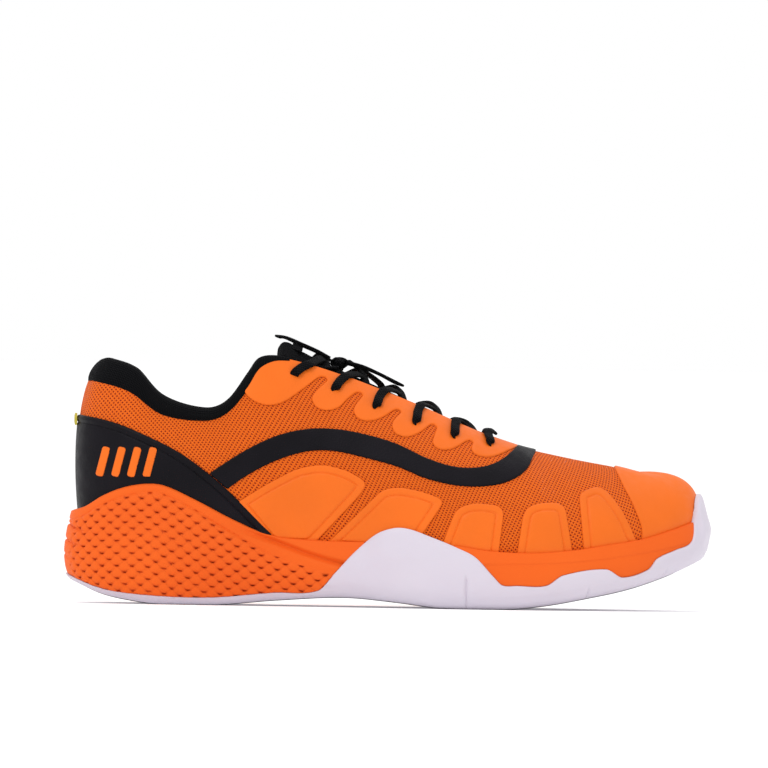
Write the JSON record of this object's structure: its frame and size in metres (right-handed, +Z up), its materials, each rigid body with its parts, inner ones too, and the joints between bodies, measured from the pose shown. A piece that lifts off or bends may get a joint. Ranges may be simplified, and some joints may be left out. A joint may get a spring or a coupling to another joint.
{
  "type": "court shoe",
  "caption": "Low-cut indoor court shoe for the right foot, with a padded tongue on a hinge, flat laces, film overlays and a pale rubber outsole with a side wing.",
  "frame": {"origin": "bottom centre of the shoe's box, on the floor", "axes": "+X to the toe, +Y to the inner side of the right foot, +Z up"},
  "size_m": [0.2925, 0.1058, 0.1228],
  "materials": {
    "outsole_rubber": "pale non-marking rubber, matte",
    "midsole_foam": "moulded foam, matte",
    "shank_plastic": "moulded plastic",
    "board_fabric": "stitched board",
    "insole_fabric": "knit over foam",
    "knit_mesh": "open knit with diagonal holes",
    "black_knit": "knit lining",
    "stiffener": "thermoplastic sheet",
    "grey_foam": "open cell foam",
    "film": "fused film, satin",
    "black_synthetic": "smooth synthetic, satin",
    "tag_fabric": "woven tag",
    "webbing": "woven webbing",
    "lace_fabric": "braided flat lace",
    "aglet_plastic": "clear coated tip"
  },
  "bodies": {
    "shoe": {"outsole": "outsole_rubber", "midsole": "midsole_foam", "torsion_shank": "shank_plastic", "strobel_board": "board_fabric", "insole": "insole_fabric", "upper_mesh": "knit_mesh", "inner_lining": "black_knit", "heel_counter": "stiffener", "toe_puff": "stiffener", "collar_foam": "grey_foam", "collar_lining": "black_knit", "toe_cap": "film", "side_panels_lateral": "film", "side_panels_medial": "film", "eyestay_lateral": "film", "eyestay_medial": "film", "side_band": "black_synthetic", "heel_overlay": "black_synthetic", "heel_badge": "film", "heel_tag": "tag_fabric", "lace": "lace_fabric", "lace_knot": "lace_fabric", "lace_loop_rear": "lace_fabric", "lace_loop_front": "lace_fabric", "lace_end_lateral": "lace_fabric", "lace_end_medial": "lace_fabric", "aglets": "aglet_plastic"},
    "tongue": {"tongue_face": "black_knit", "tongue_foam": "grey_foam", "tongue_lining": "black_knit", "tongue_lace_keeper": "webbing"}
  },
  "joints": [
    {"name": "tongue_hinge", "type": "hinge", "parent": "shoe", "child": "tongue", "pos_m": [0.057, 0, 0.0665], "axis": [0, 1, 0], "range_deg": [-12, 0]}
  ]
}
